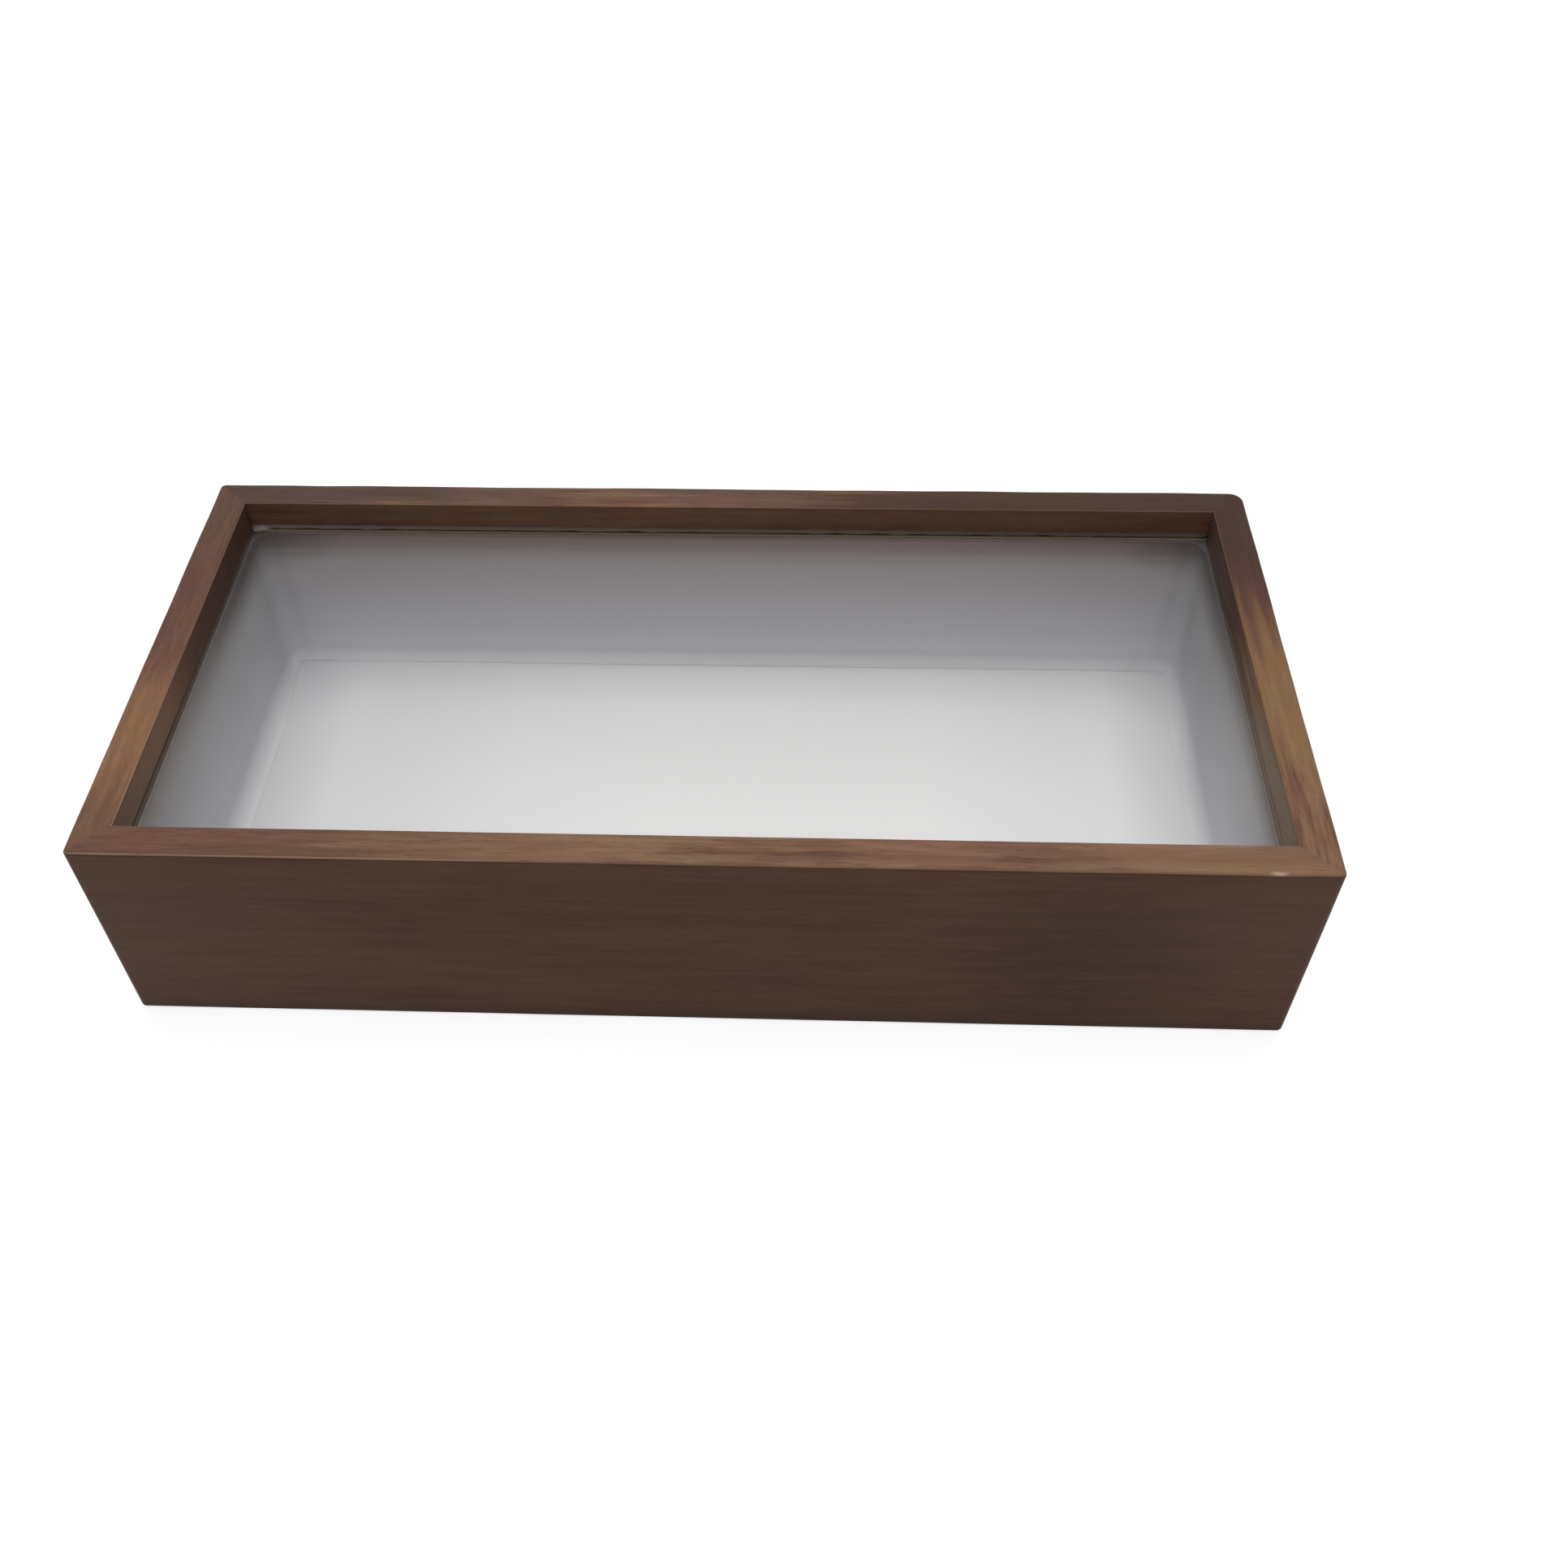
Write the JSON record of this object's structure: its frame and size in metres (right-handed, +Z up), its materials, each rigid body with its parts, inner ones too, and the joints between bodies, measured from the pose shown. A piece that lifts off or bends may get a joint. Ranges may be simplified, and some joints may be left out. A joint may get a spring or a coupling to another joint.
{
  "type": "butterfly display case",
  "caption": "Shallow rectangular wooden display case with mitred rails, a glass top under a lip, a white lining and a removable base board held by turn buttons.",
  "frame": {"origin": "centre of the footprint, on the surface that the case stands on", "axes": "+X along the long side to the right, +Y to the back, +Z up through the glass"},
  "size_m": [0.15, 0.075, 0.03],
  "materials": {
    "stained_wood": "walnut stain, satin lacquer",
    "brad_steel": "bright wire",
    "pane_glass": "clear float glass",
    "white_card": "matt white card",
    "hardboard": "smooth brown hardboard",
    "white_paper": "matt white paper",
    "button_steel": "nickel plate, satin",
    "screw_steel": "nickel plate, bright"
  },
  "bodies": {
    "base": {"base_board": "hardboard", "floor_facing": "white_paper"},
    "case": {"front_rail": "stained_wood", "back_rail": "stained_wood", "left_rail": "stained_wood", "right_rail": "stained_wood", "corner_brads": "brad_steel", "glass_pane": "pane_glass", "front_liner": "white_card", "back_liner": "white_card", "left_liner": "white_card", "right_liner": "white_card", "button_screws": "screw_steel"},
    "front_left_turn_button": {"front_left_turn_button": "button_steel"},
    "front_right_turn_button": {"front_right_turn_button": "button_steel"},
    "back_left_turn_button": {"back_left_turn_button": "button_steel"},
    "back_right_turn_button": {"back_right_turn_button": "button_steel"}
  },
  "joints": [
    {"name": "case_lift", "type": "slide", "parent": "base", "child": "case", "axis": [0, 0, 1], "range_m": [0, 0.05]},
    {"name": "front_left_turn_button_turn", "type": "hinge", "parent": "case", "child": "front_left_turn_button", "pos_m": [-0.042, -0.0356, 0.00057], "axis": [0, 0, 1], "range_deg": [0, 90]},
    {"name": "front_right_turn_button_turn", "type": "hinge", "parent": "case", "child": "front_right_turn_button", "pos_m": [0.042, -0.0356, 0.00057], "axis": [0, 0, -1], "range_deg": [0, 90]},
    {"name": "back_left_turn_button_turn", "type": "hinge", "parent": "case", "child": "back_left_turn_button", "pos_m": [-0.042, 0.0356, 0.00057], "axis": [0, 0, -1], "range_deg": [0, 90]},
    {"name": "back_right_turn_button_turn", "type": "hinge", "parent": "case", "child": "back_right_turn_button", "pos_m": [0.042, 0.0356, 0.00057], "axis": [0, 0, 1], "range_deg": [0, 90]}
  ]
}
